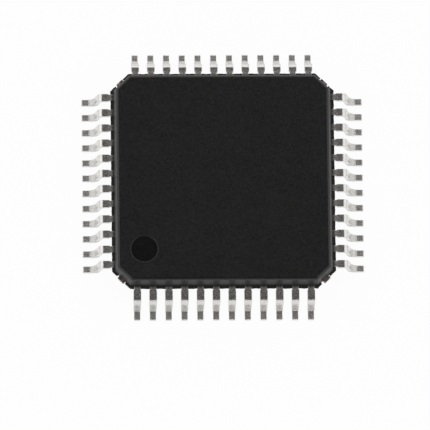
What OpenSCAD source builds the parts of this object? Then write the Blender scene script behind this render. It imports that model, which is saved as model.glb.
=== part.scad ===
// Thin quad flat pack: a moulded chip with gull-wing leads on all four sides.
// Millimetres. The origin is the centre of the seating plane, with +Z up.
// Lead 1 is at the -X end of the -Y side, and the numbers run counter-clockwise
// seen from above.

/* [Moulded body] */
// Width of the two moulded halves where they meet the lead frame
body_w = 6.9; // [6.5:0.02:7.4]
// Height of the body, from its underside to its top face
body_t = 1; // [0.9:0.05:1.4]
// Air gap between the underside and the board
standoff = 0.1; // [0.05:0.01:0.15]
// Depth of the upper half, from the top face down to the lead frame
upper_t = 0.4; // [0.36:0.01:0.5]
// Angle of the moulded walls from upright, so that the part leaves the mould
draft = 12; // [5:1:20]
// Leg of the 45 degree cut at each corner of the halves
corner_cut = 0.48; // [0.3:0.02:0.6]
// Radius along the edges of the top face and the underside
edge_r = 0.1; // [0.04:0.01:0.14]

/* [Resin web between the leads] */
// How far the web stands out past the halves
web_out = 0.09; // [0.04:0.01:0.12]
// How far the web lies back from the top and the underside of the leads
web_step = 0.02; // [0.01:0.005:0.04]
// Slot each side of a tie bar, where the corner trim took the web away
tie_slot = 0.05; // [0.02:0.01:0.1]

/* [Moulded marks] */
// Diameter of the recess that marks lead 1
mark_d = 0.85; // [0.5:0.05:1.2]
// Depth of the recess that marks lead 1
mark_depth = 0.05; // [0.02:0.01:0.1]
// Centre of that recess, in from the -X side of the body
mark_in_x = 0.93; // [0.75:0.01:1.5]
// Centre of that recess, in from the -Y side of the body
mark_in_y = 1.1; // [0.75:0.01:1.5]
// Diameter of the two ejector pin marks on the underside
eject_d = 1; // [0.6:0.1:1.5]
// Depth of the ejector pin marks
eject_depth = 0.03; // [0.01:0.01:0.06]
// Distance of each ejector pin mark from the centre, along both X and Y
eject_off = 2; // [1:0.1:2.3]

/* [Lead frame outside the body] */
// Leads on each side
leads_per_side = 12; // [8:1:12]
// Distance between the centres of neighbouring leads
pitch = 0.5; // [0.48:0.01:0.52]
// Thickness of the lead frame
frame_t = 0.127; // [0.1:0.001:0.15]
// Width of a lead where it leaves the body
root_w = 0.2; // [0.16:0.01:0.24]
// Width of a lead along its shoulder, where the dam bar was cut off
shoulder_w = 0.25; // [0.2:0.01:0.28]
// Width of a lead at its foot
foot_w = 0.2; // [0.16:0.01:0.27]
// Length of the flat shoulder, from the body to the start of the upper bend
shoulder_len = 0.345; // [0.22:0.005:0.4]
// Length of the narrow root that shows past the web
root_len = 0.03; // [0.01:0.01:0.05]
// Length over which the root widens to the shoulder
flare_len = 0.06; // [0.04:0.01:0.1]
// Radius on the underside of the upper bend
upper_bend_r = 0.06; // [0.05:0.01:0.12]
// Radius on the top side of the lower bend
lower_bend_r = 0.19; // [0.1:0.01:0.22]
// Angle of the leg between the bends, down from level
leg_angle = 75; // [60:1:82]
// Length of the flat foot
foot_len = 0.215; // [0.12:0.005:0.45]

/* [Lead frame inside the body] */
// Gap between a tie bar and the outermost leads, where they turn towards the paddle
tie_gap = 0.075; // [0.05:0.005:0.1]
// Width of a lead at its inner tip
tip_w = 0.16; // [0.12:0.01:0.17]
// Gap between neighbouring inner tips
tip_gap = 0.15; // [0.12:0.01:0.16]
// Gap between the inner tips and the paddle, seen from above
paddle_gap = 0.35; // [0.3:0.01:0.5]
// Width of the square paddle under the die
paddle_w = 3.7; // [3.5:0.05:4]
// Depth of the paddle below the leads
downset = 0.18; // [0.1:0.01:0.2]
// Slope of the tie bars where they rise from the paddle
downset_angle = 45; // [35:1:60]
// Level length of a tie bar between the paddle's corner and that slope
tie_flat = 0.05; // [0.03:0.01:0.1]
// Width of the tie bars
tie_w = 0.26; // [0.2:0.01:0.3]
// How far the cut ends of the tie bars stand out past the web
tie_out = 0.04; // [0.01:0.01:0.08]

/* [Die and bond wires] */
// Width of the square die
die_w = 2.4; // [2:0.1:3]
// Thickness of the die
die_t = 0.25; // [0.2:0.01:0.28]
// Thickness of the adhesive under the die
glue_t = 0.02; // [0.01:0.005:0.03]
// How far the adhesive spreads past the die
glue_out = 0.06; // [0.02:0.01:0.1]
// Centres of the bond pads, in from the edge of the die
pad_in = 0.08; // [0.06:0.01:0.12]
// Centre of the last pad of a row, in from the corner of the die
pad_corner = 0.2; // [0.18:0.01:0.3]
// Diameter of the bond wires
wire_d = 0.025; // [0.018:0.001:0.033]
// Height at which a wire leaves its upright neck above the die
neck_h = 0.06; // [0.04:0.005:0.08]
// Radius of the turn from the neck into the long slope
wire_bend_r = 0.05; // [0.03:0.005:0.06]
// Diameter of the ball where a wire starts on the die
ball_d = 0.06; // [0.05:0.005:0.08]
// Height of that ball
ball_h = 0.015; // [0.01:0.001:0.02]
// Distance from an inner tip to where the wire is stitched down
stitch_in = 0.1; // [0.06:0.01:0.15]

/* [Hidden] */
// Smoothness of round shapes, and of the thin bond wires
$fn = 48;
wire_fn = 16;
// Straight steps in each bend of a lead and each rounded edge of the body
bend_steps = 8;
// Extra length that carries a cutter past the surface it cuts
past = 0.1;

lead_total = 4 * leads_per_side;
function lead_name(i) = str("lead_", i < 10 ? "0" : "", i);

// Heights above the board
body_top = standoff + body_t;
frame_top = body_top - upper_t;
frame_bottom = frame_top - frame_t;
paddle_bottom = frame_bottom - downset;
paddle_top = paddle_bottom + frame_t;
die_bottom = paddle_top + glue_t;
die_top = die_bottom + die_t;

// Distances from the centre, square to a side. The fan begins where a straight lead
// would come too close to the tie bar.
wall_d = body_w / 2;
web_d = wall_d + web_out;
straight_side = wall_d - corner_cut;
tip_d = paddle_w / 2 + paddle_gap;
row_end = (leads_per_side - 1) / 2 * pitch + root_w / 2;
fan_d = row_end + (tie_w / 2 + tie_gap) * sqrt(2);
stitch_d = tip_d + stitch_in;
pad_d = die_w / 2 - pad_in;

// Distances from the centre, along a diagonal
wall_diag = (wall_d + straight_side) / sqrt(2);
web_diag = (web_d + straight_side) / sqrt(2);
tie_end = web_diag + tie_out;
paddle_diag = paddle_w / sqrt(2);

// Gull-wing form of a lead: radii on its centre line, then distances from the centre
upper_mid_r = upper_bend_r + frame_t / 2;
lower_mid_r = lower_bend_r + frame_t / 2;
mid_r_sum = upper_mid_r + lower_mid_r;
leg_len = (frame_bottom - mid_r_sum * (1 - cos(leg_angle))) / sin(leg_angle);
upper_bend_d = wall_d + shoulder_len;
leg_d = upper_bend_d + upper_mid_r * sin(leg_angle);
foot_d = leg_d + leg_len * cos(leg_angle) + lower_mid_r * sin(leg_angle);
toe_d = foot_d + foot_len;

// Distances between neighbours in a row
tip_pitch = tip_w + tip_gap;
pad_pitch = (die_w - 2 * pad_corner) / (leads_per_side - 1);

// Where the member k of a row lies, counted from 0 at the row's left end
function in_row(k, step) = (k - (leads_per_side - 1) / 2) * step;

// Middle of lead k at the distance d from the centre, between its tip and its root
function fan_x(k, d) =
    let (share = (d - tip_d) / (fan_d - tip_d))
    in_row(k, tip_pitch) * (1 - share) + in_row(k, pitch) * share;

// Points along an arc round a centre, between two angles
function arc(centre, r, from, to) =
    [for (i = [0:bend_steps])
        let (angle = from + (to - from) * i / bend_steps)
        centre + r * [cos(angle), sin(angle)]];

// Draws its child once on each side, turned about the centre
module each_side() {
    for (side = [0:3]) rotate([0, 0, 90 * side]) children();
}

// ---------- Moulded body ----------

// Centre of the radius along an outer edge, for a wall that rises by height from reach
function edge_centre(reach, height) =
    reach - (height - edge_r) * tan(draft) - edge_r / cos(draft);

// Cross-section of both halves, for a wall that lies reach from the centre at the lead frame
function body_section(reach) =
    let (
        top_centre = [edge_centre(reach, upper_t), body_top - edge_r],
        foot_centre = [edge_centre(reach, frame_bottom - standoff), standoff + edge_r],
        right = concat(
            arc(foot_centre, edge_r, -90, -draft),
            [[reach, frame_bottom], [reach, frame_top]],
            arc(top_centre, edge_r, draft, 90)
        )
    )
    concat(right, [for (i = [len(right) - 1:-1:0]) [-right[i][0], right[i][1]]]);

// A long bar with that cross-section, which gives two opposite walls
module wall_pair(angle, reach) {
    rotate([90, 0, angle])
        linear_extrude(height = 2 * body_w, center = true)
            polygon(body_section(reach));
}

module body_blank() {
    intersection() {
        wall_pair(0, wall_d);
        wall_pair(90, wall_d);
        wall_pair(45, wall_diag);
        wall_pair(135, wall_diag);
    }
}

// Thin web of resin that filled the gaps between the leads, up to the dam bars
module resin_web() {
    side = straight_side;
    outline = [
        [web_d, -side], [web_d, side], [side, web_d], [-side, web_d],
        [-web_d, side], [-web_d, -side], [-side, -web_d], [side, -web_d]
    ];
    difference() {
        translate([0, 0, frame_bottom + web_step])
            linear_extrude(height = frame_t - 2 * web_step) polygon(outline);
        each_side()
            rotate([0, 0, 45])
                translate([wall_diag, -tie_w / 2 - tie_slot, frame_bottom])
                    cube([web_diag, tie_w + 2 * tie_slot, frame_t]);
    }
}

module moulded_marks() {
    translate([mark_in_x - wall_d, mark_in_y - wall_d, body_top - mark_depth])
        cylinder(d = mark_d, h = mark_depth + past);
    for (way = [-1, 1])
        translate([way * eject_off, -way * eject_off, standoff - past])
            cylinder(d = eject_d, h = eject_depth + past);
}

// The resin fills everything round the lead frame, the die and the wires
module mold_body() {
    color("#262627")
    difference() {
        union() {
            body_blank();
            resin_web();
        }
        moulded_marks();
        for (i = [1:lead_total]) lead(i);
        die_pad();
        die_attach();
        die();
        bond_wires();
    }
}

// ---------- Leads ----------

// Gull-wing side view of a lead: x is the distance from the centre, y the height
module lead_section() {
    upper_centre = [upper_bend_d, frame_bottom - upper_bend_r];
    lower_centre = [foot_d, frame_t + lower_bend_r];
    upper_face = concat(
        [[tip_d, frame_top]],
        arc(upper_centre, upper_bend_r + frame_t, 90, 90 - leg_angle),
        arc(lower_centre, lower_bend_r, 270 - leg_angle, 270),
        [[toe_d, frame_t]]
    );
    under_face = concat(
        [[toe_d, 0]],
        arc(lower_centre, lower_bend_r + frame_t, 270, 270 - leg_angle),
        arc(upper_centre, upper_bend_r, 90 - leg_angle, 90),
        [[tip_d, frame_bottom]]
    );
    polygon(concat(upper_face, under_face));
}

// Plan of lead k of the -Y side, from its inner tip out to its toe
module lead_plan(k) {
    tip_x = in_row(k, tip_pitch);
    root_x = in_row(k, pitch);
    root_end = web_d + root_len;
    right = [
        [tip_x + tip_w / 2, -tip_d],
        [root_x + root_w / 2, -fan_d],
        [root_x + root_w / 2, -root_end],
        [root_x + shoulder_w / 2, -root_end - flare_len],
        [root_x + shoulder_w / 2, -leg_d],
        [root_x + foot_w / 2, -foot_d],
        [root_x + foot_w / 2, -toe_d]
    ];
    left = [
        [root_x - foot_w / 2, -toe_d],
        [root_x - foot_w / 2, -foot_d],
        [root_x - shoulder_w / 2, -leg_d],
        [root_x - shoulder_w / 2, -root_end - flare_len],
        [root_x - root_w / 2, -root_end],
        [root_x - root_w / 2, -fan_d],
        [tip_x - tip_w / 2, -tip_d]
    ];
    polygon(concat(right, left));
}

// One lead is one formed strip: the inner finger, the shoulder, the leg and the foot
module lead(i) {
    side = floor((i - 1) / leads_per_side);
    color("#b9b7b2")
    rotate([0, 0, 90 * side])
    intersection() {
        rotate([90, 0, -90])
            linear_extrude(height = body_w, center = true) lead_section();
        translate([0, 0, -past])
            linear_extrude(height = frame_top + 2 * past)
                lead_plan(i - 1 - side * leads_per_side);
    }
}

// ---------- Paddle and tie bars ----------

// Side view of a tie bar, which rises from the paddle to the level of the leads
module tie_section() {
    kink = frame_t * tan(downset_angle / 2);
    start = paddle_diag - tie_w;
    low = paddle_diag + tie_flat;
    high = low + downset / tan(downset_angle);
    polygon([
        [start, paddle_bottom], [low, paddle_bottom], [high, frame_bottom], [tie_end, frame_bottom],
        [tie_end, frame_top], [high - kink, frame_top], [low - kink, paddle_top], [start, paddle_top]
    ]);
}

module die_pad() {
    color("#b87f5c") {
        translate([-paddle_w / 2, -paddle_w / 2, paddle_bottom])
            cube([paddle_w, paddle_w, frame_t]);
        each_side()
            rotate([90, 0, 45]) linear_extrude(height = tie_w, center = true) tie_section();
    }
}

// ---------- Die, adhesive and bond wires ----------

module die_attach() {
    glue_w = die_w + 2 * glue_out;
    color("#9a9a96")
        translate([-glue_w / 2, -glue_w / 2, paddle_top]) cube([glue_w, glue_w, glue_t]);
}

module die() {
    color("#5f6470")
        translate([-die_w / 2, -die_w / 2, die_bottom]) cube([die_w, die_w, die_t]);
}

// Wire k of the -Y side: a ball on its pad, an upright neck, a turn, and a long slope
// that is stitched down flat on the tip of its lead
module bond_wire(k) {
    pad_x = in_row(k, pad_pitch);
    run_x = fan_x(k, stitch_d) - pad_x;
    run_y = pad_d - stitch_d;
    run = norm([run_x, run_y]);
    turn_z = die_top + neck_h;
    drop = turn_z - frame_top;
    slope = atan2(drop, run - wire_bend_r) + asin(wire_bend_r / norm([run - wire_bend_r, drop]));
    translate([pad_x, -pad_d, 0]) rotate([0, 0, atan2(run_y, run_x)]) {
        translate([0, 0, die_top]) cylinder(d = ball_d, h = ball_h);
        translate([0, 0, die_top]) cylinder(d = wire_d, h = neck_h);
        translate([wire_bend_r, 0, turn_z])
            rotate([90, 0, 0])
                rotate_extrude(angle = 90 + slope, start = 90 - slope)
                    translate([wire_bend_r, 0]) circle(d = wire_d);
        intersection() {
            translate([wire_bend_r, 0, turn_z])
                rotate([0, slope, 0])
                    translate([0, 0, wire_bend_r]) rotate([0, 90, 0]) cylinder(d = wire_d, h = 2 * run);
            translate([0, -wire_d, frame_top]) cube([2 * run, 2 * wire_d, drop + 2 * wire_bend_r]);
        }
    }
}

module bond_wires() {
    $fn = wire_fn;
    color("#d9b450")
        each_side() for (k = [0:leads_per_side - 1]) bond_wire(k);
}

// ---------- Nodes ----------

mold_body();
die_pad();
die_attach();
die();
bond_wires();
for (i = [1:lead_total]) lead(i);
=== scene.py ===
"""Looks of a thin quad flat pack chip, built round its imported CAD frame.

Lengths are in millimetres until a mesh is made, and each mesh is made in metres. A side
is a row of leads: side 0 faces -Y, and the sides run counter-clockwise seen from above.
"""
import math

import bmesh
import bpy
from mathutils import Matrix, Vector, noise


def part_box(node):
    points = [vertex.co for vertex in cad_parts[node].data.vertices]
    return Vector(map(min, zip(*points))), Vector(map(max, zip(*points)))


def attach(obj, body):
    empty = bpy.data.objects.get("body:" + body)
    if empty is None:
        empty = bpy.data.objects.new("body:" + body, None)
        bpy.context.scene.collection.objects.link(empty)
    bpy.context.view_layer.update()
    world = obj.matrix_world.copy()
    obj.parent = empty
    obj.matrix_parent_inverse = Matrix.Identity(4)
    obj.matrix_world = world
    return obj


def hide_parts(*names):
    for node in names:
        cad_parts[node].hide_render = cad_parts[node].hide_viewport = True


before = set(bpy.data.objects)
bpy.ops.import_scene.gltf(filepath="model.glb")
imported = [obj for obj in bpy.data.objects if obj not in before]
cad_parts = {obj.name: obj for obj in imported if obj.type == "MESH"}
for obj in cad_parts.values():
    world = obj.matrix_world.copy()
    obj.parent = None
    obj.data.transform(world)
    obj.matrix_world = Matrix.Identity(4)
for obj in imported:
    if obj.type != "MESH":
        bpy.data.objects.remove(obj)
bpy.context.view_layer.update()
MM = 0.001


def box_mm(node):
    """Lowest and highest corner of a CAD node, in millimetres."""
    low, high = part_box(node)
    return low / MM, high / MM


# ---------- Sizes from the frame ----------

mould_low, mould_high = box_mm("mold_body")
first_low, first_high = box_mm("lead_01")
paddle_low = box_mm("die_pad")[0]
glue_low = box_mm("die_attach")[0]
LEAD_COUNT = sum(name.startswith("lead_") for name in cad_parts)
PER_SIDE = LEAD_COUNT // 4

STANDOFF = mould_low.z
BODY_TOP = mould_high.z
WEB_D = mould_high.x
TOE_D = -first_low.y
TIP_D = -first_high.y
FRAME_TOP = first_high.z
FRAME_T = glue_low.z - paddle_low.z
FRAME_BOTTOM = FRAME_TOP - FRAME_T
FRAME_MID = FRAME_TOP - FRAME_T / 2

# ---------- Sizes of the form, as in the part's source ----------

PITCH = 0.5
DRAFT = math.radians(12)
EDGE_R = 0.1
WEB_OUT = 0.09
WEB_STEP = 0.02
CORNER_CUT = 0.48
MARK_D = 0.85
MARK_DEPTH = 0.05
MARK_IN = (0.93, 1.1)
EJECT_D = 1.0
EJECT_DEPTH = 0.03
EJECT_OFF = 2.0
TIP_W, ROOT_W, SHOULDER_W, FOOT_W = 0.16, 0.2, 0.25, 0.2
TIP_GAP = 0.15
TIP_PITCH = TIP_W + TIP_GAP
SHOULDER_LEN = 0.345
ROOT_LEN = 0.03
FLARE_LEN = 0.06
UPPER_BEND_R = 0.06
LOWER_BEND_R = 0.19
LEG_ANGLE = 75
TIE_W = 0.26
TIE_GAP = 0.075
TIE_FLAT = 0.05
PADDLE_GAP = 0.35
DOWNSET_ANGLE = math.radians(45)

WALL_D = WEB_D - WEB_OUT
STRAIGHT_SIDE = WALL_D - CORNER_CUT
MARK_AT = (MARK_IN[0] - WALL_D, MARK_IN[1] - WALL_D)
WALL_DIAG = (WALL_D + STRAIGHT_SIDE) / math.sqrt(2)
WEB_DIAG = (WEB_D + STRAIGHT_SIDE) / math.sqrt(2)
ROW_END = (PER_SIDE - 1) / 2 * PITCH + ROOT_W / 2
FAN_D = ROW_END + (TIE_W / 2 + TIE_GAP) * math.sqrt(2)

# ---------- Sizes that only the looks have ----------

PLAN_R = 0.04            # radius of the upright edges at the corner cuts
RIM_R = 0.022            # radius round the rim of a recess
FLOOR_R = RIM_R / 2      # radius round the floor of a recess
LEAD_EDGE_R = 0.014      # radius along the edges of a lead
END_R = 0.002            # radius that is left round the end face of a strip
WEB_FALL = 0.008         # how far the faces of the resin web close in towards its edge
WEB_EDGE_R = 0.012       # radius along the edges of the resin web
WEB_DEPTH = 1.2 * WEB_OUT  # how far in from its edge the web goes, which is into the body
TORN_DEPTH = 0.012       # how far the web's torn edge strays
TORN_RATE = (9, 9, 14)   # how fast it strays along X, Y and Z
TORN_STEP = 0.03         # distance between the points along that edge
SLOT_DEPTH = 0.05        # how far the slots beside the tie bars go in past the wall's foot
# Widths of the slots before and after each tie bar, counter-clockwise from the -X -Y corner
SLOTS = ((0.05, 0.03), (0.09, 0.03), (0.05, 0.05), (0.02, 0.05))
# How far each tie bar stands out of the web, counter-clockwise from the +X -Y corner
TIE_OUTS = (0.04, 0.01, 0.01, 0.035)
# The forming tool left the rows a little different. For each side: how much further in its
# upper bend and its toes lie, how much smaller the radius of its lower bend is, and by how
# many degrees its legs are less steep
ROW_FORMS = ((-0.01, 0.035, 0.16, 3), (0.01, 0, -0.02, 0), (0.075, 0.13, 0.05, 0), (0.01, 0, -0.02, 0))

ARC_STEPS = 8            # steps round the long edges of the top face and the underside
TURN_STEPS = 3           # steps round an upright edge
RIM_STEPS = 3            # steps over the rim of a recess
FLOOR_STEPS = 2          # steps round the edge of its floor
RING_STEPS = 96          # steps round a recess
BEND_STEPS = 14          # steps round a bend of a lead
FLARE_STEPS = 3          # steps along the flare of a lead
SECTION_STEPS = 3        # steps round an edge of a strip
SLIVER = 0.00002         # points that a cut leaves closer together than this are joined
SPLIT_GAP = 0.00001      # points of a cutter closer together than this are joined
CREASE = math.cos(math.radians(50))   # faces at a steeper angle than this meet in a crease
LEVEL_WITHIN = 0.0001    # a point this close to a flat face's height lies on it
LEVEL_NORMAL = 0.7       # where the normal rises more than this, the face may be a level one
WALL_NORMAL = 0.5        # where it rises less than this, the face is a wall
PAST_WALL = 0.003        # a face this much further out than the wall's foot is the web's
MARK_RIM_SHARE = 0.3     # share of the lead 1 mark's rim that is as smooth as its floor
MARK_BELOW = 0.01        # how far under the mark's floor its smooth faces are looked for

# ---------- Looks of the resin ----------

# For each look: depth of its grain, its roughness, and its darkest and lightest grey
RESINS = {
    "moulding_resin": (0.003, 0.31, 0.0024, 0.0128),
    "polished_moulding_resin": (0.0002, 0.2, 0.0015, 0.0065),
    "torn_moulding_resin": (0.006, 0.8, 0.002, 0.012),
    # The walls' lighter grey is painted light; their higher roughness is their scuffed finish
    "scuffed_wall_resin_painted_light": (0.004, 0.45, 0.016, 0.03),
}
RESIN_IOR = 1.52
GLOSS_SPREAD = 0.04      # how far the roughness strays each way
BROAD_SHARE = 0.15       # share of the grey's change that comes from broad patches
NOISE_SPAN = (0.3, 0.7)  # most of a noise texture lies between these

# ---------- The studio ----------

TENT_LIGHT = 1.12        # brightness of the white tent
TENT_COLOUR = (1.0, 0.99, 0.98)
TENT_TILT = -0.055       # how much brighter it is toward +X
HEM_LIGHT = 0.2          # share of its brightness that is left at its hem on the floor
HEM_TOP = 0.22           # how high the shade at the hem reaches, as a sine
OPENING_LIGHT = 0.07     # brightness of the dark opening overhead
OPENING_AT = (0, -17)    # lean of its middle from straight up along X and Y, in degrees
OPENING_SIZE = (24, 50)  # its half-widths in degrees
OPENING_POWER = 3        # its form: 2 is an ellipse, and more is squarer
OPENING_FADE = 0.15      # how far its edge fades each way, as a share of its size
FLOOR_REACH = 1500       # half the width of the floor
FLOOR_COLOUR = (0.86, 0.86, 0.86)
FLOOR_GLOW = 0.96        # share of the floor that shows plain white
WHITE = (1, 1, 1)
CAMERA_TURNS = (5.8803, 73.8314, 5.4538)   # azimuth from -Y to -X, elevation and roll, in degrees
CAMERA_TARGET = (-0.2646, -1.1089, 0.6)
CAMERA_DISTANCE = 450
CAMERA_LENS = 1190.4
CAMERA_SENSOR = 36
CAMERA_CLIP = (10, 20000)


# ---------- Mesh helpers ----------

def add_piece(name, bm, *materials):
    """Makes an object in metres from a bmesh in millimetres."""
    bmesh.ops.recalc_face_normals(bm, faces=bm.faces)
    mesh = bpy.data.meshes.new(name)
    bm.to_mesh(mesh)
    bm.free()
    mesh.transform(Matrix.Scale(MM, 4))
    mesh.shade_smooth()
    for material in materials:
        mesh.materials.append(material)
    piece = bpy.data.objects.new(name, mesh)
    bpy.context.scene.collection.objects.link(piece)
    return piece


def apply_modifiers(piece):
    """Keeps what the modifiers make as the piece's own mesh."""
    bpy.context.view_layer.update()
    evaluated = piece.evaluated_get(bpy.context.evaluated_depsgraph_get())
    mesh = bpy.data.meshes.new_from_object(evaluated)
    piece.modifiers.clear()
    old = piece.data
    piece.data = mesh
    bpy.data.meshes.remove(old)


def combine(piece, others, operation):
    """Adds the other pieces to this one, or cuts them out of it, and then deletes them."""
    for other in others:
        modifier = piece.modifiers.new("combine", "BOOLEAN")
        modifier.operation = operation
        modifier.solver = "MANIFOLD"
        modifier.object = other
        apply_modifiers(piece)
        bpy.data.objects.remove(other)


def drop_slivers(piece):
    """Joins points that a cut left closer than SLIVER, with the faces of no area between them."""
    bm = bmesh.new()
    bm.from_mesh(piece.data)
    bmesh.ops.dissolve_degenerate(bm, edges=bm.edges, dist=SLIVER * MM)
    bm.to_mesh(piece.data)
    bm.free()


def flatten_flats(piece):
    """Shades flat faces flat and rounded edges round.

    Each point is shaded as the largest faces round it lie, and a crease is left where faces
    meet at a steep angle.
    """
    mesh = piece.data
    normals = [face.normal.copy() for face in mesh.polygons]
    weights = [(face.area / MM ** 2) ** 2 for face in mesh.polygons]
    around = [[] for _ in mesh.vertices]
    for face in mesh.polygons:
        for vert in face.vertices:
            around[vert].append(face.index)
    corners = []
    for face in mesh.polygons:
        for vert in face.vertices:
            shade = Vector()
            for other in around[vert]:
                if normals[other].dot(normals[face.index]) > CREASE:
                    shade += normals[other] * weights[other]
            corners.append(shade.normalized() if shade.length > 0 else normals[face.index])
    mesh.normals_split_custom_set(corners)


def level_normals(piece, heights):
    """Makes the shading level at the points that lie on flat faces at these heights, in millimetres."""
    mesh = piece.data
    normals = [Vector(corner.vector) for corner in mesh.corner_normals]
    for polygon in mesh.polygons:
        for loop in polygon.loop_indices:
            height = mesh.vertices[mesh.loops[loop].vertex_index].co.z / MM
            level = min(abs(height - flat) for flat in heights) < LEVEL_WITHIN
            if level and abs(normals[loop].z) > LEVEL_NORMAL:
                normals[loop] = Vector((0, 0, math.copysign(1, normals[loop].z)))
    mesh.normals_split_custom_set(normals)


def add_ring(bm, points):
    """Adds a ring of points, as yet without its edges."""
    return [bm.verts.new(point) for point in points]


def bridge(bm, ring, other):
    """Faces between two rings of as many points."""
    count = len(ring)
    for i in range(count):
        j = (i + 1) % count
        bm.faces.new((ring[i], ring[j], other[j], other[i]))


def ring_edges(bm, ring):
    """The edges round a closed ring of points."""
    edges = []
    for i, vert in enumerate(ring):
        after = ring[(i + 1) % len(ring)]
        edges.append(bm.edges.get((vert, after)) or bm.edges.new((vert, after)))
    return edges


def rounded_section(width, height, radius):
    """Points of a rounded rectangle round the origin."""
    points = []
    for corner, (sx, sy) in enumerate([(1, 1), (-1, 1), (-1, -1), (1, -1)]):
        for i in range(SECTION_STEPS + 1):
            angle = math.radians(90) * (corner + i / SECTION_STEPS)
            points.append((sx * (width / 2 - radius) + radius * math.cos(angle),
                           sy * (height / 2 - radius) + radius * math.sin(angle)))
    return points


def sweep(stations, height, radius):
    """A strip along -Y through stations (out, up, lean, across, width), with its ends chamfered.

    out is the distance from the middle, and lean is the slope down from level in radians.
    """
    bm = bmesh.new()
    rings = []
    first, last = stations[0], stations[-1]
    ends = [first] + list(stations) + [last]
    for i, (out, up, lean, across, width) in enumerate(ends):
        at_end = i in (0, len(ends) - 1)
        inset = radius if at_end else 0
        ahead = {1: radius, len(ends) - 2: -radius}.get(i, 0)
        out += ahead * math.cos(lean)
        up -= ahead * math.sin(lean)
        section = rounded_section(width - 2 * inset, height - 2 * inset, max(radius - inset, END_R))
        rings.append(add_ring(bm, [
            (across + a, -(out + b * math.sin(lean)), up + b * math.cos(lean))
            for a, b in section]))
    for ring, other in zip(rings, rings[1:]):
        bridge(bm, ring, other)
    bm.faces.new(rings[0])
    bm.faces.new(rings[-1])
    return bm


def turn(bm, angle):
    """Turns a mesh about the upright axis, counter-clockwise seen from above."""
    bmesh.ops.rotate(bm, verts=bm.verts, cent=(0, 0, 0), matrix=Matrix.Rotation(angle, 3, "Z"))


# ---------- Node helpers ----------

class Graph:
    """Short calls for building the node tree of a material or a world."""

    def __init__(self, owner):
        owner.use_nodes = True
        self.tree = owner.node_tree
        self.tree.nodes.clear()

    def node(self, kind, **values):
        """A new node with these properties set."""
        made = self.tree.nodes.new(kind)
        for name, value in values.items():
            setattr(made, name, value)
        return made

    def feed(self, socket, value):
        """Links a socket to another node's output, or sets it to a number, a vector or a colour."""
        if isinstance(value, bpy.types.NodeSocket):
            self.tree.links.new(value, socket)
        elif socket.type == "RGBA":
            socket.default_value = (*value, 1)
        else:
            socket.default_value = value

    def math(self, operation, *values):
        """What a calculation with these numbers or outputs gives."""
        made = self.node("ShaderNodeMath", operation=operation)
        for socket, value in zip(made.inputs, values):
            self.feed(socket, value)
        return made.outputs[0]

    def span(self, value, low, high, to_low, to_high, **values):
        """Maps low..high to to_low..to_high, and holds the ends."""
        made = self.node("ShaderNodeMapRange", **values)
        for socket, number in zip(made.inputs, (value, low, high, to_low, to_high)):
            self.feed(socket, number)
        return made.outputs["Result"]

    def parts(self, vector):
        """The x, y and z of a vector."""
        split = self.node("ShaderNodeSeparateXYZ")
        self.feed(split.inputs[0], vector)
        return split.outputs

    def blend(self, share, shader, other):
        """Shader that goes from one to the other as share goes from 0 to 1."""
        made = self.node("ShaderNodeMixShader")
        for socket, value in zip(made.inputs, (share, shader.outputs[0], other.outputs[0])):
            self.feed(socket, value)
        return made.outputs[0]


class Surface(Graph):
    """A new material of one shader, whose textures lie in the object's own space."""

    def __init__(self, name):
        self.material = bpy.data.materials.new(name)
        super().__init__(self.material)
        self.shader = self.node("ShaderNodeBsdfPrincipled")
        self.feed(self.node("ShaderNodeOutputMaterial").inputs["Surface"], self.shader.outputs[0])
        self.place = self.node("ShaderNodeTexCoord").outputs["Object"]

    def noise(self, size, detail=2, roughness=0.5, stretch=(1, 1, 1)):
        """Noise whose blotches are about size millimetres across."""
        mapping = self.node("ShaderNodeMapping")
        self.feed(mapping.inputs["Vector"], self.place)
        self.feed(mapping.inputs["Scale"], stretch)
        texture = self.node("ShaderNodeTexNoise")
        self.feed(texture.inputs["Vector"], mapping.outputs[0])
        self.feed(texture.inputs["Scale"], 1 / (size * MM))
        self.feed(texture.inputs["Detail"], detail)
        self.feed(texture.inputs["Roughness"], roughness)
        return texture.outputs["Fac"]

    def spots(self, size):
        """Distance to the nearest of scattered points about size millimetres apart."""
        texture = self.node("ShaderNodeTexVoronoi")
        self.feed(texture.inputs["Vector"], self.place)
        self.feed(texture.inputs["Scale"], 1 / (size * MM))
        return texture.outputs["Distance"]

    def vary(self, texture, low, high):
        """Spreads a noise texture over low..high."""
        return self.span(texture, *NOISE_SPAN, low, high)

    def mix(self, share, colour, other):
        """Colour that goes from one to the other as share goes from 0 to 1."""
        made = self.node("ShaderNodeMix", data_type="RGBA")
        self.feed(made.inputs["Factor"], share)
        colours = [socket for socket in made.inputs if socket.type == "RGBA"]
        for socket, value in zip(colours, (colour, other)):
            self.feed(socket, value)
        return next(socket for socket in made.outputs if socket.type == "RGBA")

    def height(self):
        """Height above the board in millimetres."""
        return self.math("DIVIDE", self.parts(self.place)[2], MM)

    def distance_out(self):
        """Distance from the centre, square to the nearest side, in millimetres."""
        across = [self.math("ABSOLUTE", part) for part in self.parts(self.place)[:2]]
        return self.math("DIVIDE", self.math("MAXIMUM", *across), MM)

    def bump(self, height, depth):
        """Bumps depth millimetres deep, where height goes from 0 to 1."""
        made = self.node("ShaderNodeBump")
        self.feed(made.inputs["Strength"], 1)
        self.feed(made.inputs["Distance"], depth * MM)
        self.feed(made.inputs["Height"], height)
        self.feed(self.shader.inputs["Normal"], made.outputs[0])

    def set(self, **values):
        """Feeds the shader's inputs, named with _ for a space."""
        for name, value in values.items():
            self.feed(self.shader.inputs[name.replace("_", " ")], value)


# ---------- Materials ----------

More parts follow.
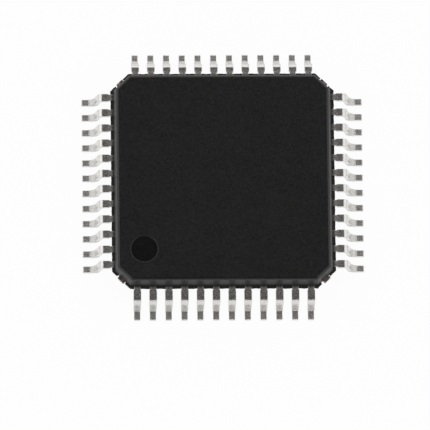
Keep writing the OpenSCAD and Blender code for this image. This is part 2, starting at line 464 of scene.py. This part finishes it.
def resin(name, grain, roughness, darkest, lightest):
    """Black moulding resin. The mould's spark-eroded finish gives the grain."""
    nodes = Surface(name)
    fine = nodes.noise(0.07, detail=3, roughness=0.6)
    broad = nodes.noise(0.9)
    filler = nodes.noise(0.045, detail=1)
    shade = nodes.math("ADD", nodes.vary(filler, 0, 1 - BROAD_SHARE),
                       nodes.span(broad, 0.35, 0.65, 0, BROAD_SHARE))
    nodes.set(Base_Color=nodes.mix(shade, (darkest,) * 3, (lightest,) * 3),
              Roughness=nodes.vary(fine, roughness - GLOSS_SPREAD, roughness + GLOSS_SPREAD),
              IOR=RESIN_IOR)
    nodes.bump(fine, grain)
    return nodes.material


def tin():
    """Matte tin plate. Next to the body it is darkened with painted shade, and forming dulled the lower
    bend.
    """
    nodes = Surface("matte_tin_plate")
    blotch = nodes.noise(0.07, detail=3, roughness=0.6)
    grain = nodes.noise(0.025)
    out = nodes.distance_out()
    height = nodes.height()
    # Roughness that is added by the body and up to the lower bend, and taken off the flat foot
    by_body = nodes.span(out, WEB_D + 0.05, WEB_D + 0.14, 0.05, 0)
    up_to_bend = nodes.span(height, FRAME_T + 0.08, FRAME_T + 0.3, 0.38, 0)
    flat_foot = nodes.span(height, FRAME_T + 0.0001, FRAME_T + 0.0006, 0.3, 0)
    dull = nodes.math("SUBTRACT", nodes.math("MAXIMUM", by_body, up_to_bend), flat_foot)
    clean = nodes.mix(nodes.span(blotch, 0.35, 0.65, 0, 1), (0.70, 0.69, 0.67), (0.80, 0.79, 0.772))
    # Painted shade: the lead is darker towards the foot of the wall
    out_of_painted_shade = nodes.span(out, WALL_D + 0.02, WEB_D, 0, 1)
    nodes.set(Base_Color=nodes.mix(out_of_painted_shade, (0.2, 0.19, 0.18), clean), Metallic=1,
              Roughness=nodes.math("ADD", nodes.vary(blotch, 0.2, 0.28), dull))
    nodes.bump(nodes.math("ADD", grain, blotch), 0.0006)
    return nodes.material


def copper():
    """Copper alloy of the lead frame, bare where it was cut."""
    nodes = Surface("bare_copper_alloy")
    streak = nodes.noise(0.05, stretch=(1, 1, 6))
    patch = nodes.noise(0.12)
    colour = nodes.mix(nodes.span(patch, 0.4, 0.6, 0, 1), (0.12, 0.10, 0.09), (0.40, 0.345, 0.31))
    nodes.set(Base_Color=colour, Metallic=1, Roughness=nodes.vary(streak, 0.35, 0.55))
    nodes.bump(streak, 0.002)
    return nodes.material


def silicon():
    """Polished silicon of the die, slightly mottled."""
    nodes = Surface("polished_silicon")
    tint = nodes.noise(0.5, detail=3)
    nodes.set(Base_Color=nodes.mix(tint, (0.13, 0.14, 0.19), (0.21, 0.21, 0.25)), Metallic=1,
              Roughness=nodes.vary(nodes.noise(0.08), 0.08, 0.16))
    return nodes.material


def adhesive():
    """Cured adhesive under the die, full of silver flakes."""
    nodes = Surface("silver_filled_adhesive")
    flake = nodes.spots(0.012)
    colour = nodes.mix(nodes.span(flake, 0, 0.7, 0, 1), (0.52, 0.52, 0.50), (0.34, 0.33, 0.31))
    nodes.set(Base_Color=colour, Metallic=0.6, Roughness=nodes.span(flake, 0, 0.7, 0.4, 0.6))
    nodes.bump(flake, 0.002)
    return nodes.material


def gold():
    """Drawn gold of the bond wires."""
    nodes = Surface("drawn_gold_wire")
    streak = nodes.noise(0.01, detail=1)
    nodes.set(Base_Color=nodes.mix(streak, (0.80, 0.56, 0.22), (0.90, 0.68, 0.32)), Metallic=1,
              Roughness=nodes.vary(streak, 0.18, 0.3))
    return nodes.material


# ---------- Leads ----------

class Row:
    """Gull-wing form of the leads on one side: distances from the centre, and the leg's angle."""

    def __init__(self, side):
        bend_short, toe_short, sharper, less_steep = ROW_FORMS[side]
        self.angle = math.radians(LEG_ANGLE - less_steep)
        self.upper_r = UPPER_BEND_R + FRAME_T / 2
        self.lower_r = LOWER_BEND_R - sharper + FRAME_T / 2
        turned = (self.upper_r + self.lower_r) * (1 - math.cos(self.angle))
        leg_len = (FRAME_BOTTOM - turned) / math.sin(self.angle)
        self.upper_d = WALL_D + SHOULDER_LEN - bend_short
        self.leg_d = self.upper_d + self.upper_r * math.sin(self.angle)
        self.leg_end_d = self.leg_d + leg_len * math.cos(self.angle)
        self.foot_d = self.leg_end_d + self.lower_r * math.sin(self.angle)
        self.toe_d = TOE_D - toe_short

    def upper_bend(self, lean):
        """(out, up, lean) in the upper bend, where the strip has this lean."""
        centre_z = FRAME_BOTTOM - UPPER_BEND_R
        return (self.upper_d + self.upper_r * math.sin(lean), centre_z + self.upper_r * math.cos(lean), lean)

    def lower_bend(self, lean):
        """(out, up, lean) in the lower bend, where the strip has this lean."""
        centre_z = FRAME_T / 2 + self.lower_r
        return (self.foot_d - self.lower_r * math.sin(lean), centre_z - self.lower_r * math.cos(lean), lean)

    def centre_line(self):
        """(out, up, lean) along the middle of a lead, from its inner tip to its toe."""
        root_end = WEB_D + ROOT_LEN
        level = [TIP_D, FAN_D, WALL_D, WEB_D]
        level += [root_end + FLARE_LEN * i / FLARE_STEPS for i in range(FLARE_STEPS + 1)]
        line = [(out, FRAME_MID, 0) for out in level]
        leans = [self.angle * i / BEND_STEPS for i in range(BEND_STEPS + 1)]
        line += [self.upper_bend(lean) for lean in leans]
        line += [self.lower_bend(lean) for lean in reversed(leans)]
        foot = (self.foot_d + LEAD_EDGE_R, self.toe_d - 2 * LEAD_EDGE_R, self.toe_d)
        line += [(out, FRAME_T / 2, 0) for out in foot]
        return line

    def plan(self, k, out):
        """Where across the side the middle of lead k lies at the distance out, and its width there."""
        share = k - (PER_SIDE - 1) / 2
        root = share * PITCH
        root_end = WEB_D + ROOT_LEN
        stops = [(TIP_D, share * TIP_PITCH, TIP_W), (FAN_D, root, ROOT_W), (root_end, root, ROOT_W),
                 (root_end + FLARE_LEN, root, SHOULDER_W), (self.leg_d, root, SHOULDER_W),
                 (self.foot_d, root, FOOT_W), (self.toe_d, root, FOOT_W)]
        for (low, low_x, low_w), (high, high_x, high_w) in zip(stops, stops[1:]):
            if out <= high:
                part = max(0, (out - low) / (high - low))
                return low_x + (high_x - low_x) * part, low_w + (high_w - low_w) * part
        return stops[-1][1:]


def formed_lead(number, material):
    """One lead: inner finger, root, shoulder, leg and foot."""
    side, k = divmod(number - 1, PER_SIDE)
    row = Row(side)
    bm = sweep([(*point, *row.plan(k, point[0])) for point in row.centre_line()], FRAME_T, LEAD_EDGE_R)
    turn(bm, side * math.pi / 2)
    name = f"lead_{number:02d}"
    piece = add_piece("formed_" + name, bm, material)
    flatten_flats(piece)
    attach(piece, "root")
    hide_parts(name)
    return piece


# ---------- Paddle and tie bars ----------

def paddle(material):
    """The paddle under the die, with four tie bars that rise to the level of the leads."""
    width = 2 * (TIP_D - PADDLE_GAP)
    corner_d = width * math.sqrt(0.5)
    low_mid = paddle_low.z + FRAME_T / 2
    rise_d = corner_d + TIE_FLAT
    level_d = rise_d + (FRAME_MID - low_mid) / math.tan(DOWNSET_ANGLE)
    kink = FRAME_T / 2 * math.tan(DOWNSET_ANGLE / 2)
    lean = -DOWNSET_ANGLE / 2
    stations = [(corner_d - TIE_W, low_mid, 0, 0, TIE_W), (rise_d - kink, low_mid, lean, 0, TIE_W),
                (level_d - kink, FRAME_MID, lean, 0, TIE_W)]
    plate = bmesh.new()
    size = Matrix.Diagonal((width, width, FRAME_T, 1))
    bmesh.ops.create_cube(plate, size=1, matrix=Matrix.Translation((0, 0, low_mid)) @ size)
    bmesh.ops.bevel(plate, geom=plate.edges[:], offset=LEAD_EDGE_R, segments=2, profile=0.5,
                    affect="EDGES")
    piece = add_piece("paddle_and_tie_bars", plate, material)
    bars = []
    for corner, tie_out in enumerate(TIE_OUTS):
        end = (WEB_DIAG + tie_out, FRAME_MID, 0, 0, TIE_W)
        bm = sweep(stations + [end], FRAME_T, LEAD_EDGE_R)
        turn(bm, math.radians(45 + 90 * corner))
        bars.append(add_piece(f"tie_bar_{corner}", bm, material))
    combine(piece, bars, "UNION")
    drop_slivers(piece)
    flatten_flats(piece)
    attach(piece, "root")
    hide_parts("die_pad")
    return piece


# ---------- Moulded body ----------

def mould_profile():
    """(inset from the wall's foot, height) up the wall, from the underside to the top face."""

    def edge(height, foot_z, way):
        """Round the long edge of one half, whose way is 1 for the upper half and -1 for the lower."""
        centre = (height - EDGE_R) * math.tan(DRAFT) + EDGE_R / math.cos(DRAFT)
        points = []
        for i in range(ARC_STEPS + 1):
            angle = DRAFT + (math.pi / 2 - DRAFT) * i / ARC_STEPS
            points.append((centre - EDGE_R * math.cos(angle),
                           foot_z + way * (height - EDGE_R + EDGE_R * math.sin(angle))))
        return points

    upper = edge(BODY_TOP - FRAME_TOP, FRAME_TOP, 1)
    lower = edge(FRAME_BOTTOM - STANDOFF, FRAME_BOTTOM, -1)
    return lower[::-1] + [(0, FRAME_BOTTOM), (0, FRAME_TOP)] + upper


def body_ring(inset, z):
    """Plan of the body at one height: a square with its corners cut, and each turn rounded."""
    centre = WALL_D - inset - PLAN_R
    cut = math.sqrt(2) * (WALL_DIAG - inset - PLAN_R) - centre
    points = []
    for quarter in range(4):
        for x, y, start in ((centre, cut, 0), (cut, centre, 45)):
            for i in range(TURN_STEPS + 1):
                angle = math.radians(start + 45 * i / TURN_STEPS)
                point = Vector((x + PLAN_R * math.cos(angle), y + PLAN_R * math.sin(angle), z))
                point.rotate(Matrix.Rotation(quarter * math.pi / 2, 3, "Z"))
                points.append(point)
    return points


def recess(bm, centre, diameter, depth, z, way):
    """A round recess into the face at height z, with its rim and its floor's edge rounded.

    way is 1 in the top face and -1 in the underside. It gives back the ring round the rim.
    """
    squash = min(1, depth / (RIM_R + FLOOR_R))
    profile = []
    for i in range(RIM_STEPS + 1):
        angle = math.radians(90 * i / RIM_STEPS)
        profile.append((diameter / 2 + RIM_R - RIM_R * math.sin(angle),
                        squash * RIM_R * (1 - math.cos(angle))))
    for i in range(FLOOR_STEPS + 1):
        angle = math.radians(90 * i / FLOOR_STEPS)
        profile.append((diameter / 2 - FLOOR_R + FLOOR_R * math.cos(angle),
                        depth - squash * FLOOR_R * (1 - math.sin(angle))))
    turns = [2 * math.pi * i / RING_STEPS for i in range(RING_STEPS)]
    rings = []
    for radius, down in profile:
        rings.append(add_ring(bm, [
            (centre[0] + radius * math.cos(turned), centre[1] + radius * math.sin(turned), z - way * down)
            for turned in turns]))
    for ring, other in zip(rings, rings[1:]):
        bridge(bm, ring, other)
    bm.faces.new(rings[-1])
    return rings[0]


def body_blank():
    """The body before its web and its pockets, with the lead 1 mark and the ejector pin marks."""
    bm = bmesh.new()
    rings = [add_ring(bm, body_ring(inset, z)) for inset, z in mould_profile()]
    for ring, other in zip(rings, rings[1:]):
        bridge(bm, ring, other)
    mark = recess(bm, MARK_AT, MARK_D, MARK_DEPTH, BODY_TOP, 1)
    bmesh.ops.triangle_fill(bm, use_beauty=True, edges=ring_edges(bm, rings[-1]) + ring_edges(bm, mark))
    ejects = [recess(bm, (way * EJECT_OFF, -way * EJECT_OFF), EJECT_D, EJECT_DEPTH, STANDOFF, -1)
              for way in (-1, 1)]
    edges = ring_edges(bm, rings[0]) + ring_edges(bm, ejects[0]) + ring_edges(bm, ejects[1])
    bmesh.ops.triangle_fill(bm, use_beauty=True, edges=edges)
    return add_piece("moulded_body", bm)


def web_outline():
    """Outline of the resin web: straight along each side, with a slot each side of a tie bar."""
    floor_d = WALL_DIAG - SLOT_DEPTH
    to_corner = Matrix.Rotation(math.radians(45), 3, "Z")
    points = []
    for quarter, (before, after) in enumerate(SLOTS):
        turned = Matrix.Rotation(math.radians(90 * quarter - 180), 3, "Z")
        diagonal = [(WEB_DIAG, -TIE_W / 2 - before), (floor_d, -TIE_W / 2 - before),
                    (floor_d, TIE_W / 2 + after), (WEB_DIAG, TIE_W / 2 + after)]
        corners = [Vector((WEB_D, STRAIGHT_SIDE, 0))]
        corners += [to_corner @ Vector((x, y, 0)) for x, y in diagonal]
        corners.append(Vector((STRAIGHT_SIDE, WEB_D, 0)))
        points += [turned @ point for point in corners]
    return points


def resin_web():
    """Thin web of resin between the leads. The dam bar punch left its edge slightly torn."""
    corners = web_outline()
    line = []
    for here, after in zip(corners, corners[1:] + corners[:1]):
        count = max(1, round((after - here).length / TORN_STEP))
        line += [here.lerp(after, i / count) for i in range(count)]
    normals = []
    for i, here in enumerate(line):
        along = line[(i + 1) % len(line)] - line[i - 1]
        normals.append(Vector((along.y, -along.x, 0)).normalized())
    low, high = FRAME_BOTTOM + WEB_STEP, FRAME_TOP - WEB_STEP
    section = [(low, WEB_DEPTH), (low + WEB_FALL, WEB_EDGE_R), (low + WEB_FALL + WEB_EDGE_R, 0),
               (high - WEB_FALL - WEB_EDGE_R, 0), (high - WEB_FALL, WEB_EDGE_R), (high, WEB_DEPTH)]
    bm = bmesh.new()
    rings = []
    for z, inset in section:
        points = []
        for here, normal in zip(line, normals):
            place = here + Vector((0, 0, z))
            torn = TORN_DEPTH * noise.noise(place * Vector(TORN_RATE))
            points.append(place + normal * (torn - inset))
        rings.append(add_ring(bm, points))
    for ring, other in zip(rings, rings[1:]):
        bridge(bm, ring, other)
    for ring in (rings[0], rings[-1]):
        bmesh.ops.triangle_fill(bm, use_beauty=True, edges=ring_edges(bm, ring))
    return add_piece("resin_web", bm)


def body_look(face):
    """The look in RESINS that a face of the body has."""
    place = face.center / MM
    from_mark = (place.xy - Vector(MARK_AT)).length
    over_mark = place.z > BODY_TOP - MARK_DEPTH - MARK_BELOW
    if over_mark and from_mark < MARK_D / 2 + MARK_RIM_SHARE * RIM_R:
        return "polished_moulding_resin"
    past_side = max(abs(place.x), abs(place.y)) > WALL_D + PAST_WALL
    past_cut = abs(place.x) + abs(place.y) > math.sqrt(2) * (WALL_DIAG + PAST_WALL)
    if past_side or past_cut:
        return "torn_moulding_resin"
    # Walls take the resin whose lighter grey is painted light
    return "scuffed_wall_resin_painted_light" if abs(face.normal.z) < WALL_NORMAL else "moulding_resin"


def moulded_body(cutters):
    """The body with its web, and with the pockets that the lead frame, die and wires fill."""
    body = body_blank()
    combine(body, [resin_web()], "UNION")
    combine(body, cutters, "DIFFERENCE")
    drop_slivers(body)
    body.data.materials.clear()   # the booleans leave an empty slot
    for name, values in RESINS.items():
        body.data.materials.append(resin(name, *values))
    order = list(RESINS)
    for face in body.data.polygons:
        face.material_index = order.index(body_look(face))
    flatten_flats(body)
    level_normals(body, (BODY_TOP, BODY_TOP - MARK_DEPTH, STANDOFF, STANDOFF + EJECT_DEPTH))
    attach(body, "root")
    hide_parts("mold_body")
    return body


def cutter(pieces):
    """A copy of these pieces as one mesh with its split points joined, to cut the body with."""
    bm = bmesh.new()
    for piece in pieces:
        bm.from_mesh(piece.data)
    bmesh.ops.remove_doubles(bm, verts=bm.verts, dist=SPLIT_GAP * MM)
    mesh = bpy.data.meshes.new("cutter")
    bm.to_mesh(mesh)
    bm.free()
    copy = bpy.data.objects.new("cutter", mesh)
    bpy.context.scene.collection.objects.link(copy)
    return copy


# ---------- Studio ----------

def camera():
    """Long lens, a little to the left of the -Y side and high above it."""
    azimuth, elevation, roll = (math.radians(angle) for angle in CAMERA_TURNS)
    forward = Vector((math.sin(azimuth) * math.cos(elevation),
                      math.cos(azimuth) * math.cos(elevation), -math.sin(elevation)))
    right = Vector((math.cos(azimuth), -math.sin(azimuth), 0))
    up = right.cross(forward)
    turned_right = right * math.cos(roll) + up * math.sin(roll)
    turned_up = up * math.cos(roll) - right * math.sin(roll)
    place = (Vector(CAMERA_TARGET) - forward * CAMERA_DISTANCE) * MM
    data = bpy.data.cameras.new("camera")
    data.sensor_width = CAMERA_SENSOR
    data.lens = CAMERA_LENS
    data.clip_start, data.clip_end = (distance * MM for distance in CAMERA_CLIP)
    eye = bpy.data.objects.new("camera", data)
    axes = Matrix((turned_right, turned_up, -forward)).transposed()
    eye.matrix_world = Matrix.Translation(place) @ axes.to_4x4()
    bpy.context.scene.collection.objects.link(eye)
    bpy.context.scene.camera = eye


def light_tent():
    """White tent all round, with the dark opening overhead that the camera looks through."""
    world = bpy.data.worlds.new("light_tent")
    bpy.context.scene.world = world
    graph = Graph(world)
    x, y, z = graph.parts(graph.node("ShaderNodeTexCoord").outputs["Generated"])
    reach = 0
    for along, middle, half_width in zip((x, y), OPENING_AT, OPENING_SIZE):
        lean = graph.math("MULTIPLY", graph.math("ARCTAN2", along, z), math.degrees(1))
        share = graph.math("DIVIDE", graph.math("SUBTRACT", lean, middle), half_width)
        bulge = graph.math("POWER", graph.math("ABSOLUTE", share), OPENING_POWER)
        reach = graph.math("ADD", bulge, reach)
    wall = graph.span(reach, 1 - OPENING_FADE, 1 + OPENING_FADE, OPENING_LIGHT, TENT_LIGHT,
                      interpolation_type="SMOOTHSTEP")
    hem = graph.span(z, 0, HEM_TOP, HEM_LIGHT, 1)
    tilt = graph.math("ADD", graph.math("MULTIPLY", x, TENT_TILT), 1)
    lit = graph.node("ShaderNodeBackground")
    graph.feed(lit.inputs["Color"], TENT_COLOUR)
    graph.feed(lit.inputs["Strength"], graph.math("MULTIPLY", graph.math("MULTIPLY", wall, hem), tilt))
    white = graph.node("ShaderNodeBackground")
    graph.feed(white.inputs["Color"], WHITE)
    both = graph.blend(graph.node("ShaderNodeLightPath").outputs["Is Camera Ray"], lit, white)
    graph.feed(graph.node("ShaderNodeOutputWorld").inputs["Surface"], both)


def floor():
    """White floor under the chip. It shows white to the camera and keeps a trace of the shadow."""
    bm = bmesh.new()
    bmesh.ops.create_grid(bm, x_segments=1, y_segments=1, size=FLOOR_REACH)
    material = bpy.data.materials.new("white_floor")
    graph = Graph(material)
    diffuse = graph.node("ShaderNodeBsdfDiffuse")
    graph.feed(diffuse.inputs["Color"], FLOOR_COLOUR)
    glow = graph.node("ShaderNodeEmission")
    graph.feed(glow.inputs["Color"], WHITE)
    path = graph.node("ShaderNodeLightPath").outputs
    seen = graph.math("MAXIMUM", path["Is Camera Ray"], path["Is Glossy Ray"])
    seen = graph.math("MAXIMUM", seen, path["Is Transmission Ray"])
    both = graph.blend(graph.math("MULTIPLY", seen, FLOOR_GLOW), diffuse, glow)
    graph.feed(graph.node("ShaderNodeOutputMaterial").inputs["Surface"], both)
    sweep_floor = add_piece("white_floor", bm, material)


# ---------- The chip ----------

def build():
    """The whole chip: its lead frame, the body moulded round it, and the looks of the die."""
    tin_plate = tin()
    leads = [formed_lead(i, tin_plate) for i in range(1, LEAD_COUNT + 1)]
    pad = paddle(copper())
    inside = {"die_attach": adhesive(), "die": silicon(), "bond_wires": gold()}
    cutters = [cutter(leads), cutter([pad])]
    cutters += [cutter([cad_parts[node]]) for node in inside]
    moulded_body(cutters)
    for node, material in inside.items():
        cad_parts[node].data.materials.clear()
        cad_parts[node].data.materials.append(material)


bpy.context.scene.view_settings.view_transform = "Standard"
build()
light_tent()
floor()
camera()
